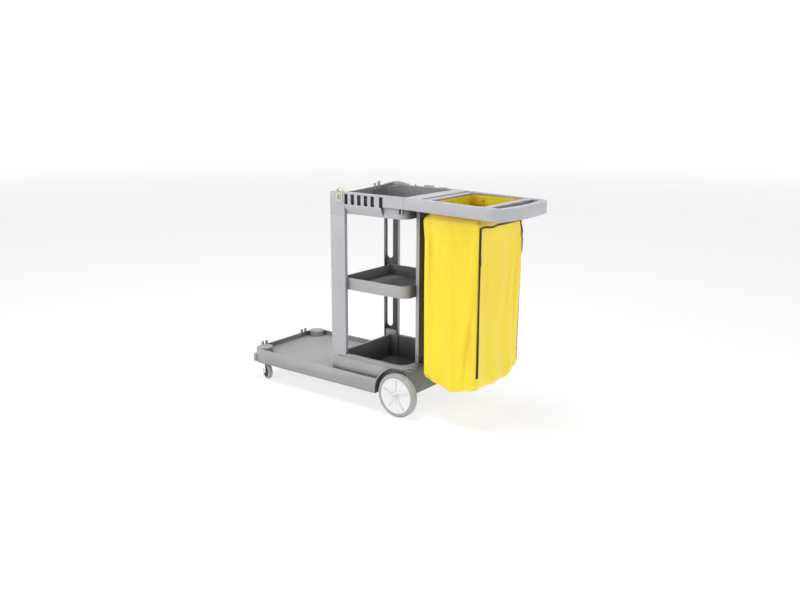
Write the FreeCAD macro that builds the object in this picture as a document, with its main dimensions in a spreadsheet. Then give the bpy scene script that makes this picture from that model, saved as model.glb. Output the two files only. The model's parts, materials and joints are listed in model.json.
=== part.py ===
import FreeCAD, Part
import Sketcher
import os
import re

# Housekeeping cart: a moulded base with a low front platform and a deep bin, four uprights, two
# open trays, tool rails, and a frame at the handle end that holds a vinyl bag.
# +X points to the handle, -Y is the left side of a person who pushes, +Z is up, and the origin is on
# the floor under the centre of the cart.  Millimetres.

doc = FreeCAD.newDocument("housekeeping_cart")

SIZES = {
    # moulded base
    "skirt_front": 702, "base_end": 226, "base_half": 234, "skirt_low": 85, "deck_top": 133,
    "rim_top": 155, "rim_width": 8, "shell": 4, "front_round": 42,
    "housing_front": 162, "housing_half": 210, "housing_top": 213, "shelf_end": 249,
    "bumper_x": 693, "bumper_y": 221, "bumper_radius": 14, "bumper_tall": 36,
    "prong_top": 174, "peg_radius": 6.5,
    # lower bin
    "bin_front": 154.5, "bin_rear": 210, "bin_half": 190, "bin_floor": 118, "bin_wall": 3,
    "lip_top": 227, "lip_half": 212, "lip_end": 253, "bin_round": 50,
    # rear wheels on their axle
    "wheel_x": 198, "wheel_radius": 100, "wheel_width": 38, "wheel_inner": 204,
    "tread_depth": 18, "arch_radius": 122, "well_wall": 198, "axle_radius": 6.35,
    "axle_half": 249, "hub_radius": 17, "fit_gap": 0.06,
    # swivel casters
    "caster_x": 660, "caster_y": 192, "caster_radius": 37.5, "caster_width": 24,
    "caster_trail": 24, "caster_axle": 4, "boss_radius": 38, "boss_top": 160,
    "stem_radius": 5.5, "stem_top": 125, "crown_low": 79, "crown_high": 82,
    "fork_half": 13.5, "fork_plate": 2.5, "core_radius": 28,
    # uprights
    "post_front": 199, "post_rear": 115, "post_outer": 206, "post_depth": 18.5,
    "post_wall": 3.5, "seam_low": 210, "seam_high": 872,
    "back_post_x": 216, "back_post_near": 34, "back_post_far": 118,
    "back_seam_low": 250, "back_seam_high": 885, "slot_half": 17.5, "slot_centre": 173.5,
    "spigot": 40, "cap_spigot": 10, "spigot_inset": 8,
    # trays
    "tray_half": 187, "tray_wall": 3.5, "tray_front": 153, "tray_rear": 215,
    "tray_low": 530, "tray_high": 585, "tray_round": 45,
    "top_low": 877, "top_high": 971, "top_front": 145, "top_rear": 207, "top_round": 55,
    "guard_near": 150, "guard_rise": 12,
    # tool rails
    "rail_top": 975, "rail_outer": 204, "rail_low": 910, "rail_step": 925, "step_x": 90,
    "rail_end": 207.5, "slot_first": 118, "slot_pitch": 37.4, "slot_wide": 20,
    "slot_low": 922, "slot_high": 967, "slot_last": 89, "gusset": 4,
    "hump_x": 121, "hump_half": 74, "hump_rise": 14, "hump_radius": 202.6,
    # tool clip
    "clip_x": 142, "clip_radius": 19, "clip_strap": 4.5, "clip_wide": 13.5,
    # bag frame with the push handle
    "frame_front": 208, "frame_end": 707, "frame_half": 204, "frame_depth": 50,
    "frame_round": 62, "end_bow": 900, "frame_tilt": 1.4, "ledge_front": 279,
    "mouth_round": 18, "grip_round": 16,
    "mouth_front": 315, "mouth_rear": 583, "mouth_half": 176,
    "grip_front": 619, "grip_rear": 670, "grip_half": 168,
    # bag
    "bag_front": 292, "bag_rear": 575, "bag_half": 182, "bag_low": 172, "bag_top": 905,
    "neck_front": 320, "neck_rear": 576, "neck_half": 171, "neck_top": 962, "vinyl": 2,
    "hook_z": 938, "hook_radius": 3,
    "zip_edge": 178, "zip_low": 240, "zip_top": 879, "zip_wide": 12, "slider_z": 760,
    "flap_edge": 156,
}

sheet = doc.addObject("Spreadsheet::Sheet", "Sizes")
alias_cells = {}
for row, (alias, value) in enumerate(SIZES.items(), start=1):
    sheet.set(f"A{row}", alias)
    sheet.set(f"B{row}", str(value))
    sheet.setAlias(f"B{row}", alias)
    alias_cells[alias] = f"B{row}"
doc.recompute()

# Where the repeated small parts stand, as formulas in the names of the sheet.
PRONGS_Y = ("-171", "-144", "115", "143")
GUSSETS_X = ("181", "199")
TRAY_PEGS = (("46", "992"), ("76", "1000"))
RAIL_PEGS_X = ("-57", "-20")
RAIL_BLOCKS = (("38", "83", "7"), ("117", "159", "3"))
# Each hook: the axis it points along, its place on the wall, and which of the two walls.
HOOKS = [("Y", "375", -1), ("Y", "525", -1), ("Y", "375", 1), ("Y", "525", 1),
         ("X", "0", -1), ("X", "0", 1)]

UP = FreeCAD.Vector(0, 0, 1)
TURNS = {
    "X": FreeCAD.Rotation(FreeCAD.Vector(0, 1, 0), 90),
    "Y": FreeCAD.Rotation(FreeCAD.Vector(1, 0, 0), -90),
    "Z": FreeCAD.Rotation(UP, 0),
}
SIDES = {"left": -1, "right": 1}
nodes = []


def bind(thing, prop, text):
    """Bind a property to a formula written with the sheet's aliases."""
    formula = re.sub(r"[a-z_]+", lambda word: "Sizes." + word.group(0), str(text))
    thing.setExpression(prop, formula)


def place(thing, x, y, z):
    for letter, text in zip("xyz", (x, y, z)):
        bind(thing, f"Placement.Base.{letter}", text)
    return thing


def mirror(side, low, high):
    """The span from low to high on the right, or its mirror image on the left."""
    if side > 0:
        return (low, high)
    return (f"-({high})", f"-({low})")


def box(name, x, y, z):
    block = doc.addObject("Part::Box", name)
    for prop, span in zip(("Length", "Width", "Height"), (x, y, z)):
        bind(block, prop, f"({span[1]}) - ({span[0]})")
    return place(block, x[0], y[0], z[0])


def cylinder(name, axis, centre, span, radius):
    """A cylinder along an axis: centre gives the two other coordinates in X, Y, Z order."""
    rod = doc.addObject("Part::Cylinder", name)
    bind(rod, "Radius", radius)
    bind(rod, "Height", f"({span[1]}) - ({span[0]})")
    where = list(centre)
    where.insert("XYZ".index(axis), span[0])
    rod.Placement = FreeCAD.Placement(FreeCAD.Vector(), TURNS[axis])
    return place(rod, *where)


def fuse(name, *things):
    joined = doc.addObject("Part::MultiFuse", name)
    joined.Shapes = list(things)
    joined.Refine = True
    return joined


def cut(name, base, *tools):
    tool = tools[0] if len(tools) == 1 else fuse(name + "_tools", *tools)
    carved = doc.addObject("Part::Cut", name)
    carved.Base = base
    carved.Tool = tool
    carved.Refine = True
    return carved


def common(name, first, second):
    shared = doc.addObject("Part::Common", name)
    shared.Base = first
    shared.Tool = second
    return shared


def group(name, *things):
    """Several separate solids that share one node."""
    gathered = doc.addObject("Part::Compound", name)
    gathered.Links = list(things)
    return gathered


def round_edges(name, base, radius, wanted):
    """Fillet the edges of base whose centre passes the test."""
    doc.recompute()
    edges = []
    for number, edge in enumerate(base.Shape.Edges, start=1):
        if wanted(edge):
            edges.append((number, radius, radius))
    rounded = doc.addObject("Part::Fillet", name)
    rounded.Base = base
    rounded.Edges = edges
    return rounded


def upright_edge(edge):
    box_of_edge = edge.BoundBox
    return box_of_edge.XLength < 0.01 and box_of_edge.YLength < 0.01


def round_corners(name, base, rear=0, front=0):
    """Fillet the upright edges at the rear and at the front of a block."""
    doc.recompute()
    middle = base.Shape.BoundBox.Center.x
    if rear:
        base = round_edges(name + "_rear", base, rear,
                           lambda edge: upright_edge(edge) and edge.CenterOfMass.x > middle)
    if front:
        base = round_edges(name + "_front", base, front,
                           lambda edge: upright_edge(edge) and edge.CenterOfMass.x < middle)
    return base


def plane_of(body, role):
    for feature in body.Origin.OriginFeatures:
        if feature.Role == role:
            return feature
    raise ValueError(role)


def number(text):
    """The value of a formula, worked out in a spare cell of the sheet."""
    sheet.set("D1", "=" + re.sub(r"[a-z_]+", lambda word: alias_cells[word.group(0)], str(text)))
    sheet.recompute()
    return float(sheet.get("D1"))


def outline(body, role, points):
    """A closed sketch on an origin plane, each corner held by two bound distances."""
    sketch = body.newObject("Sketcher::SketchObject", body.Name + "_outline")
    sketch.AttachmentSupport = [(plane_of(body, role), "")]
    sketch.MapMode = "FlatFace"
    start = [(number(across), number(along)) for across, along in points]
    count = len(points)
    for i in range(count):
        here = FreeCAD.Vector(*start[i], 0)
        there = FreeCAD.Vector(*start[(i + 1) % count], 0)
        sketch.addGeometry(Part.LineSegment(here, there), False)
    for i in range(count):
        sketch.addConstraint(Sketcher.Constraint("Coincident", i, 2, (i + 1) % count, 1))
    for i in range(count):
        for axis in (0, 1):
            kind = ("DistanceX", "DistanceY")[axis]
            index = sketch.addConstraint(Sketcher.Constraint(kind, -1, 1, i, 1, start[i][axis]))
            bind(sketch, f"Constraints[{index}]", points[i][axis])
    return sketch


def turned(name, points):
    """A body of revolution about Z from (radius, height) corners."""
    body = doc.addObject("PartDesign::Body", name)
    spin = body.newObject("PartDesign::Revolution", name + "_spin")
    spin.Profile = outline(body, "XZ_Plane", points)
    spin.ReferenceAxis = (spin.Profile[0], ["V_Axis"])
    spin.Angle = 360
    return body


def plate(name, role, points, length, both_ways=False):
    """A body padded from an outline on an origin plane."""
    body = doc.addObject("PartDesign::Body", name)
    pad = body.newObject("PartDesign::Pad", name + "_pad")
    pad.Profile = outline(body, role, points)
    pad.Midplane = both_ways
    bind(pad, "Length", length)
    return body


def node(name, thing):
    """Mark a finished piece: its label names its file."""
    thing.Label = name
    nodes.append(thing)
    return thing


# ------------------------------------------------------------------ moulded base

def wheel_well(name, side, radius, inner, outer):
    """The round space over a rear wheel."""
    return cylinder(name, "Y", ("wheel_x", "wheel_radius"), mirror(side, inner, outer), radius)


def fender(name, side):
    """A curved mudguard that rises from the skirt to the lip of the bin."""
    outer = wheel_well(name + "_outer", side, "arch_radius + shell", "well_wall - shell", "base_half")
    inner = wheel_well(name + "_inner", side, "arch_radius", "well_wall", "base_half + 1")
    kept = box(name + "_kept", ("wheel_x - arch_radius - 2 * shell", "base_end"),
               mirror(side, "well_wall - shell", "base_half"), ("skirt_low", "housing_top"))
    # The fender's outer edge leans in from the skirt to the lip.
    lean = plate(name + "_lean", "YZ_Plane",
                 [(f"{side} * base_half", "rim_top"), (f"{side} * (base_half + 40)", "rim_top"),
                  (f"{side} * (base_half + 40)", "lip_top + 5"),
                  (f"{side} * lip_half", "lip_top + 5"), (f"{side} * lip_half", "housing_top")],
                 "base_end")
    return cut(name, common(name + "_band", outer, kept), inner, lean)


def front_spigot(name, side, z):
    """A block that fills the channel of a front upright and locates it."""
    return box(name, ("-post_front + spigot_inset", "-post_rear - spigot_inset"),
               mirror(side, "post_outer - post_depth + 2", "post_outer - post_wall - 1"), z)


def back_spigot(name, side, z):
    """The same for a rear upright, whose channel opens to the front."""
    return box(name, ("back_post_x + 2", "back_post_x + post_depth - post_wall - 1"),
               mirror(side, "back_post_near + spigot_inset", "back_post_far - spigot_inset"), z)


def base_moulding():
    low = box("base_low", ("-skirt_front", "base_end"), ("-base_half", "base_half"),
              ("skirt_low", "rim_top"))
    low = round_corners("base_low_round", low, front=SIZES["front_round"])
    pan = box("base_pan", ("-skirt_front + rim_width", "base_end + 1"),
              ("-base_half + rim_width", "base_half - rim_width"), ("deck_top", "rim_top + 1"))
    pan = round_corners("base_pan_round", pan, front=SIZES["front_round"] - SIZES["rim_width"])
    under = box("base_under", ("-skirt_front + shell", "base_end + 1"),
                ("-base_half + shell", "base_half - shell"), ("skirt_low - 1", "deck_top - shell"))
    under = round_corners("base_under_round", under, front=SIZES["front_round"] - SIZES["shell"])
    housing = box("housing", ("-housing_front", "base_end"), ("-housing_half", "housing_half"),
                  ("skirt_low", "housing_top"))
    shelf = box("rear_shelf", ("base_end - shell", "shelf_end"),
                ("-housing_half + shell", "housing_half - shell"),
                ("housing_top - shell", "housing_top"))
    shelf = round_corners("rear_shelf_round", shelf, rear=SIZES["shelf_end"] - SIZES["base_end"])
    hollow = box("housing_hollow", ("-housing_front + shell", "base_end - shell"),
                 ("-housing_half + shell", "housing_half - shell"),
                 ("skirt_low - 1", "housing_top + 1"))
    walls = []
    cuts = []
    fenders = []
    for label, side in SIDES.items():
        cuts.append(wheel_well(f"well_{label}", side, "arch_radius", "well_wall", "base_half + 1"))
        walls.append(box(f"well_wall_{label}", ("wheel_x - arch_radius - shell", "base_end"),
                         mirror(side, "well_wall - shell", "well_wall"),
                         ("skirt_low", "housing_top")))
        fenders.append(fender(f"fender_{label}", side))
        cuts.append(box(f"foot_room_{label}", ("-post_front", "-post_rear"),
                        mirror(side, "post_outer - post_depth", "post_outer"),
                        ("seam_low", "housing_top + 1")))
    shell = cut("base_shell", fuse("base_block", cut("base_tray", low, pan, under), housing, shelf),
                hollow, *cuts)
    posts = []
    for label, side in SIDES.items():
        posts.append(box(f"front_socket_{label}", ("-post_front", "-post_rear"),
                         mirror(side, "post_outer - post_depth", "post_outer"),
                         ("deck_top - shell", "seam_low")))
        posts.append(front_spigot(f"front_spigot_{label}", side, ("seam_low - 1", "seam_low + spigot")))
        posts.append(box(f"back_socket_{label}", ("back_post_x", "back_post_x + post_depth"),
                         mirror(side, "back_post_near", "back_post_far"),
                         ("housing_top - shell", "back_seam_low")))
        posts.append(back_spigot(f"back_spigot_{label}", side,
                                 ("back_seam_low - 1", "back_seam_low + spigot")))
        posts.append(cylinder(f"caster_boss_{label}", "Z", ("-caster_x", f"{side} * caster_y"),
                              ("skirt_low + 3", "boss_top"), "boss_radius"))
    for i, across in enumerate(PRONGS_Y):
        posts.append(cylinder(f"prong_{i}", "Z", ("-skirt_front + rim_width / 2", across),
                              ("rim_top - 5", "prong_top"), "peg_radius"))
    whole = fuse("base_whole", shell, *walls, *fenders, *posts)
    holes = [cylinder("axle_hole", "Y", ("wheel_x", "wheel_radius"), ("-base_half", "base_half"),
                      "axle_radius")]
    for label, side in SIDES.items():
        holes.append(cylinder(f"stem_hole_{label}", "Z", ("-caster_x", f"{side} * caster_y"),
                              ("skirt_low", "stem_top"), "stem_radius"))
        holes.append(corner_post(f"bumper_seat_{label}", side))
    node("base_moulding", cut("base_moulding", whole, *holes))


def corner_post(name, side):
    """The round bumper at a front corner, also used to cut its seat."""
    return cylinder(name, "Z", ("-bumper_x", f"{side} * bumper_y"),
                    ("skirt_low + 3", "skirt_low + 3 + bumper_tall"), "bumper_radius")


def corner_bumpers():
    for label, side in SIDES.items():
        node(f"corner_bumper_{label}", corner_post(f"bumper_{label}", side))


def lower_bin():
    # The front corners step in round the uprights, outside and inside.
    notch_y = "post_outer - post_depth - 1.5"
    notches = []
    steps = []
    for label, side in SIDES.items():
        notches.append(box(f"bin_notch_{label}", ("-post_front - 2", "-post_rear + 2"),
                           mirror(side, notch_y, "lip_half + 1"),
                           ("bin_floor - bin_wall - 1", "lip_top + 1")))
        steps.append(box(f"bin_step_{label}", ("-post_front - 2", "-post_rear + 2 + bin_wall"),
                         mirror(side, f"{notch_y} - bin_wall", "lip_half + 1"),
                         ("bin_floor - 1", "lip_top + 1")))
    tub = box("bin_tub", ("-bin_front - bin_wall", "bin_rear + bin_wall"),
              ("-bin_half - bin_wall", "bin_half + bin_wall"), ("bin_floor - bin_wall", "lip_top"))
    tub = round_corners("bin_tub_round", tub, rear=SIZES["bin_round"] + SIZES["bin_wall"])
    lip = box("bin_lip", ("-housing_front - 4", "lip_end"), ("-lip_half", "lip_half"),
              ("housing_top", "lip_top"))
    lip = round_corners("bin_lip_round", lip, rear=SIZES["bin_round"] + 16)
    space = box("bin_space", ("-bin_front", "bin_rear"), ("-bin_half", "bin_half"),
                ("bin_floor", "lip_top + 1"))
    space = round_corners("bin_space_round", space, rear=SIZES["bin_round"])
    sockets = [box(f"lip_gap_{label}", ("back_post_x", "back_post_x + post_depth"),
                   mirror(side, "back_post_near", "back_post_far"),
                   ("housing_top - 1", "lip_top + 1")) for label, side in SIDES.items()]
    node("lower_bin", cut("lower_bin", fuse("bin_block", tub, lip),
                          cut("bin_cavity", space, *steps), *notches, *sockets))


# ------------------------------------------------------------------ uprights

def channel(name, x, y, z, hollow_x, hollow_y):
    """A channel section: a block with its open side cut out along its whole length."""
    return cut(name, box(name + "_block", x, y, z),
               box(name + "_hollow", hollow_x, hollow_y, (f"{z[0]} - 1", f"{z[1]} + 1")))


def front_uprights():
    for label, side in SIDES.items():
        name = f"upright_front_{label}"
        post = channel(name + "_section", ("-post_front", "-post_rear"),
                       mirror(side, "post_outer - post_depth", "post_outer"),
                       ("seam_low", "seam_high"),
                       ("-post_front + post_wall", "-post_rear - post_wall"),
                       mirror(side, "post_outer - post_depth - 1", "post_outer - post_wall"))
        if label == "right":
            post = cut(name, post, hanging_slot("upper_slot", side, "tray_high + 43", "seam_high - 30"),
                       hanging_slot("lower_slot", side, "seam_low + 72", "tray_low - 30"))
        node(name, post)


def hanging_slot(name, side, low, high):
    """A long slot with round ends through the web of an upright."""
    web = mirror(side, "post_outer - post_wall - 1", "post_outer + 1")
    middle = box(name + "_middle", ("-slot_centre - slot_half", "-slot_centre + slot_half"), web,
                 (low, high))
    ends = [cylinder(f"{name}_end_{i}", "Y", ("-slot_centre", height), web, "slot_half")
            for i, height in enumerate((low, high))]
    return fuse(name, middle, *ends)


def rear_uprights():
    for label, side in SIDES.items():
        name = f"upright_rear_{label}"
        node(name, channel(name, ("back_post_x", "back_post_x + post_depth"),
                           mirror(side, "back_post_near", "back_post_far"),
                           ("back_seam_low", "back_seam_high"),
                           ("back_post_x - 1", "back_post_x + post_depth - post_wall"),
                           mirror(side, "back_post_near + post_wall", "back_post_far - post_wall")))


# ------------------------------------------------------------------ trays

def tray(name, front, rear, low, high, front_round):
    outer = box(name + "_outer", (front, rear), ("-tray_half", "tray_half"), (low, high))
    outer = round_corners(name + "_outer_round", outer, rear=SIZES["tray_round"], front=8)
    inner = box(name + "_inner", (f"{front} + tray_wall", f"{rear} - tray_wall"),
                ("-tray_half + tray_wall", "tray_half - tray_wall"),
                (f"{low} + tray_wall", f"{high} + 1"))
    inner = round_corners(name + "_inner_round", inner,
                          rear=SIZES["tray_round"] - SIZES["tray_wall"], front=front_round)
    return cut(name + "_shell", outer, inner)


def trays():
    node("mid_tray", tray("mid", "-tray_front", "tray_rear", "tray_low", "tray_high", 4.5))
    pegs = [cylinder(f"tray_peg_{i}", "Z", ("-top_front + 2", across), ("top_high - 12", height),
                     "peg_radius")
            for i, (across, height) in enumerate(TRAY_PEGS)]
    top = tray("top", "-top_front", "top_rear", "top_low", "top_high", SIZES["top_round"])
    # The front wall rises towards the right, where the pegs stand.
    guard = plate("tray_guard", "YZ_Plane",
                  [("-guard_near", "top_high - 2"), ("tray_half - 4", "top_high - 2"),
                   ("tray_half - 4", "top_high + guard_rise")], "tray_wall")
    place(guard, "-top_front", "0", "0")
    node("top_tray", fuse("top_tray", top, guard, *pegs))


# ------------------------------------------------------------------ tool rails

def tool_rail(label, side):
    """A hollow rail along a side of the top tray, with slots for hanging tools."""
    name = f"tool_rail_{label}"
    front = box(name + "_deep", ("-post_rear", "step_x"),
                mirror(side, "rail_outer - post_wall", "rail_outer"), ("rail_low", "rail_top"))
    rear = box(name + "_shallow", ("step_x", "rail_end"),
               mirror(side, "rail_outer - post_wall", "rail_outer"), ("rail_step", "rail_top"))
    cap = box(name + "_cap", ("-post_rear", "rail_end"),
              mirror(side, "tray_half - tray_wall", "rail_outer"), ("top_high", "rail_top"))
    corner = box(name + "_corner", ("-post_front", "-post_rear"),
                 mirror(side, "tray_half + 0.5", "post_outer"), ("seam_high", "rail_top"))
    spigot = front_spigot(name + "_spigot", side, ("seam_high - cap_spigot", "seam_high + 1"))
    webs = [box(f"{name}_web_{i}", (x, f"{x} + gusset"), mirror(side, "tray_half + 0.5", "rail_outer"),
                ("rail_low - 8", "rail_top")) for i, x in enumerate(GUSSETS_X)]
    apron = plate(name + "_apron", "YZ_Plane",
                  [(f"{side} * (tray_half + 0.5)", "rail_low + 2"), (f"{side} * rail_outer", "rail_low + 2"),
                   (f"{side} * rail_outer", "rail_low"), (f"{side} * (tray_half + 0.5)", "top_low + 3")],
                  "post_rear + step_x")
    place(apron, "-post_rear", "0", "0")
    slots = []
    for i in range(6):
        at = f"-slot_first + {i} * slot_pitch" if i < 5 else "slot_last - slot_wide / 2"
        slots.append(box(f"{name}_slot_{i}", (at, f"{at} + slot_wide"),
                         mirror(side, "rail_outer - post_wall - 1", "rail_outer + 1"),
                         ("slot_low", "slot_high")))
    extras = far_lugs() if label == "right" else []
    return cut(name, fuse(name + "_solid", front, rear, cap, corner, spigot, apron, *webs, *extras),
               *slots)


def far_lugs():
    """The raised stop, the pegs and the blocks on top of the right rail."""
    depth = ("tray_half + 3", "rail_outer")
    hump = cylinder("hump_round", "Y", ("-hump_x", "rail_top + hump_rise - hump_radius"), depth,
                    "hump_radius")
    above = box("hump_above", ("-hump_x - hump_half", "-hump_x + hump_half"), depth,
                ("rail_top - 2", "rail_top + hump_rise + 2"))
    pegs = [cylinder(f"rail_peg_{i}", "Z", (x, "rail_outer - 6"), ("rail_top - 2", "rail_top + 7"), "3.5")
            for i, x in enumerate(RAIL_PEGS_X)]
    blocks = [box(f"rail_block_{i}", (low, high), depth, ("rail_top - 2", f"rail_top + {rise}"))
              for i, (low, high, rise) in enumerate(RAIL_BLOCKS)]
    return [common("hump", hump, above), *pegs, *blocks]


def tool_clip():
    """A springy loop over the front corner of the left rail."""
    face = "-post_outer - 3.5"
    span = (face, f"{face} + clip_wide")
    centre = ("-clip_x", "rail_top")
    loop = cut("clip_loop", cylinder("clip_outer", "Y", centre, span, "clip_radius"),
               cylinder("clip_inner", "Y", centre, (f"{face} - 1", f"{face} + clip_wide + 1"),
                        "clip_radius - clip_strap"))
    above = box("clip_above", ("-clip_x - clip_radius - 1", "-clip_x + clip_radius + 1"), span,
                ("rail_top", "rail_top + clip_radius + 1"))
    tongue = box("clip_tongue", ("-clip_x - clip_radius", "-clip_x + clip_radius"),
                 (face, "-post_outer"), ("rail_top - 46", "rail_top"))
    eye = box("clip_eye", ("-clip_x - 10", "-clip_x + 10"), (f"{face} - 1", "-post_outer + 1"),
              ("rail_top - 34", "rail_top - 14"))
    strap = fuse("clip_strap", common("clip_arch", loop, above), tongue)
    node("tool_clip", cut("tool_clip", strap, eye))


# ------------------------------------------------------------------ bag frame

def bowed(name, front, rear, half, z, rear_round, front_round=0):
    """A block whose rear end is an arc about the same centre as the frame's own end."""
    block = box(name + "_straight", (front, rear), (f"-({half})", half), z)
    bow = cylinder(name + "_bow", "Z", ("frame_end - end_bow", "0"), z, f"({rear}) - frame_end + end_bow")
    return round_corners(name, common(name + "_shape", block, bow), rear=rear_round, front=front_round)


def frame_block(name, inset, z):
    """The frame's outline, drawn in by an inset."""
    return bowed(name, f"frame_front + {inset}", f"frame_end - {inset}", f"frame_half - {inset}", z,
                 SIZES["frame_round"] - inset)


def grip(name, wall, z):
    """The hand slot, which follows the frame's end, grown by a wall."""
    turn = SIZES["grip_round"] + wall
    return bowed(name, f"grip_front - {wall}", f"grip_rear + {wall}", f"grip_half + {wall}", z, turn, turn)


def mouth(name, wall, z):
    """The opening over the bag, grown by a wall."""
    block = box(name + "_block", (f"mouth_front - {wall}", f"mouth_rear + {wall}"),
                (f"-mouth_half - {wall}", f"mouth_half + {wall}"), z)
    turn = SIZES["mouth_round"] + wall
    return round_corners(name, block, rear=turn, front=turn)


def bag_frame():
    low, high = "rail_top - frame_depth", "rail_top"
    through = (f"{low} - 1", f"{high} + 1")
    outer = frame_block("frame_outer", 0, (low, high))
    inside = frame_block("frame_inside", SIZES["shell"], (f"{low} - 1", f"{high} - shell"))
    # A shallow ledge runs along the front of the mouth and takes in its two rounded corners.
    ledge_floor = box("ledge_floor", ("ledge_front - shell", "mouth_front"),
                      ("-mouth_half - shell", "mouth_half + shell"), (f"{high} - 2 * shell", high))
    ledge = box("ledge", ("ledge_front", "mouth_front + mouth_round"), ("-mouth_half", "mouth_half"),
                (f"{high} - shell", through[1]))
    walls = [mouth("mouth_wall", SIZES["shell"], through), grip("grip_wall", SIZES["shell"], through),
             ledge_floor]
    holes = [mouth("mouth", 0, through), grip("grip", 0, through), ledge]
    ring = cut("frame_ring", outer, cut("frame_cavity", inside, *walls), *holes)
    # The whole ring drops a little towards the handle, about the foot of its front bar.
    pivot = FreeCAD.Vector(SIZES["frame_front"], 0, SIZES["rail_top"] - SIZES["frame_depth"])
    drop = FreeCAD.Rotation(FreeCAD.Vector(0, 1, 0), SIZES["frame_tilt"])
    ring.Placement = FreeCAD.Placement(FreeCAD.Vector(), drop, pivot)
    legs = []
    for label, side in SIDES.items():
        legs.append(box(f"frame_leg_{label}", ("back_post_x", "back_post_x + post_depth"),
                        mirror(side, "back_post_near", "back_post_far"),
                        ("back_seam_high", "rail_top - 3")))
        legs.append(back_spigot(f"leg_spigot_{label}", side,
                                ("back_seam_high - spigot", "back_seam_high + 1")))
    node("bag_frame", fuse("bag_frame", ring, *legs))


# ------------------------------------------------------------------ bag

def hook_span(axis, way, start, end):
    """The stretch of a hook, measured inwards from the wall of the mouth."""
    if axis == "Y":
        return mirror(way, f"mouth_half - {end}", f"mouth_half - {start}")
    if way < 0:
        return (f"mouth_front + {start}", f"mouth_front + {end}")
    return (f"mouth_rear - {end}", f"mouth_rear - {start}")


def hook_rod(name, hook, start, end, radius):
    axis, across, way = hook
    return cylinder(name, axis, (across, "hook_z"), hook_span(axis, way, start, end), radius)


def bag_hooks():
    """Round-headed pegs inside the mouth that hold the bag's eyelets."""
    hooks = []
    for i, hook in enumerate(HOOKS):
        hooks.append(fuse(f"hook_{i}", hook_rod(f"hook_rod_{i}", hook, 1.5, 13, "hook_radius"),
                          hook_rod(f"hook_head_{i}", hook, 12, 15, "hook_radius + 2")))
    node("bag_hooks", group("bag_hooks", *hooks))


def bag():
    body = box("bag_body", ("bag_front", "bag_rear"), ("-bag_half", "bag_half"), ("bag_low", "bag_top"))
    body = round_corners("bag_body_round", body, rear=14, front=14)
    neck = box("bag_neck", ("neck_front", "neck_rear"), ("-neck_half", "neck_half"),
               ("bag_top - 5", "neck_top"))
    neck = round_corners("bag_neck_round", neck, rear=15, front=15)
    space = box("bag_space", ("bag_front + vinyl", "bag_rear - vinyl"),
                ("-bag_half + vinyl", "bag_half - vinyl"), ("bag_low + vinyl", "bag_top - vinyl"))
    space = round_corners("bag_space_round", space, rear=12, front=12)
    throat = box("bag_throat", ("neck_front + vinyl", "neck_rear - vinyl"),
                 ("-neck_half + vinyl", "neck_half - vinyl"), ("bag_top - 10", "neck_top + 1"))
    throat = round_corners("bag_throat_round", throat, rear=13, front=13)
    eyelets = [hook_rod(f"eyelet_{i}", hook, 2, 11, "hook_radius + 1.5") for i, hook in enumerate(HOOKS)]
    node("bag", cut("bag", fuse("bag_block", body, neck), space, throat, *eyelets))


def bag_door():
    """The zip down the near edge of the bag's rear face, and the black binding of its flap."""
    face = ("bag_rear", "bag_rear + 1.5")
    track = ("-zip_edge", "-zip_edge + zip_wide")
    node("zip_track", box("zip_track", face, track, ("zip_low", "zip_top")))
    top = box("binding_top", face, (track[1], "flap_edge"), ("zip_top - zip_wide", "zip_top"))
    side = box("binding_side", face, ("flap_edge - zip_wide", "flap_edge"),
               ("zip_low", "zip_top - zip_wide"))
    node("flap_binding", fuse("flap_binding", top, side))
    slider = box("zip_slider", ("bag_rear + 1.8", "bag_rear + 5"), ("-zip_edge + 2", "-zip_edge + 10"),
                 ("slider_z - 8", "slider_z + 8"))
    node("zip_slider", slider)
    pull = box("zip_pull", ("bag_rear + 5", "bag_rear + 6.5"), ("-zip_edge + 3", "-zip_edge + 9"),
               ("slider_z - 40", "slider_z + 5"))
    node("zip_pull", pull)


# ------------------------------------------------------------------ rear wheels

def rear_axle():
    node("rear_axle", cylinder("rear_axle", "Y", ("wheel_x", "wheel_radius"),
                               ("-axle_half", "axle_half"), "axle_radius"))
    washers = []
    nuts = []
    washer_span = ("well_wall", "wheel_inner - 0.8")
    nut_span = ("wheel_inner + wheel_width + 0.8", "axle_half - 1")
    for label, side in SIDES.items():
        washers.append(collar(f"washer_{label}", side, washer_span, "13"))
        nuts.append(collar(f"nut_{label}", side, nut_span, "9"))
    node("axle_washers", group("axle_washers", *washers))
    node("axle_nuts", group("axle_nuts", *nuts))


def collar(name, side, span, radius):
    """A round piece threaded or pushed onto the axle."""
    centre = ("wheel_x", "wheel_radius")
    disc = cylinder(name + "_disc", "Y", centre, mirror(side, *span), radius)
    hole = cylinder(name + "_hole", "Y", centre, mirror(side, "well_wall - 5", "axle_half + 5"),
                    "axle_radius")
    return cut(name, disc, hole)


def lay_wheel(body, side, x, y, z):
    """Turn a wheel made about Z so that its open face, at +Z, looks out sideways."""
    outwards = FreeCAD.Rotation(FreeCAD.Vector(1, 0, 0), -90 * side)
    body.Placement = FreeCAD.Placement(FreeCAD.Vector(), outwards)
    return place(body, x, y, z)


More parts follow.
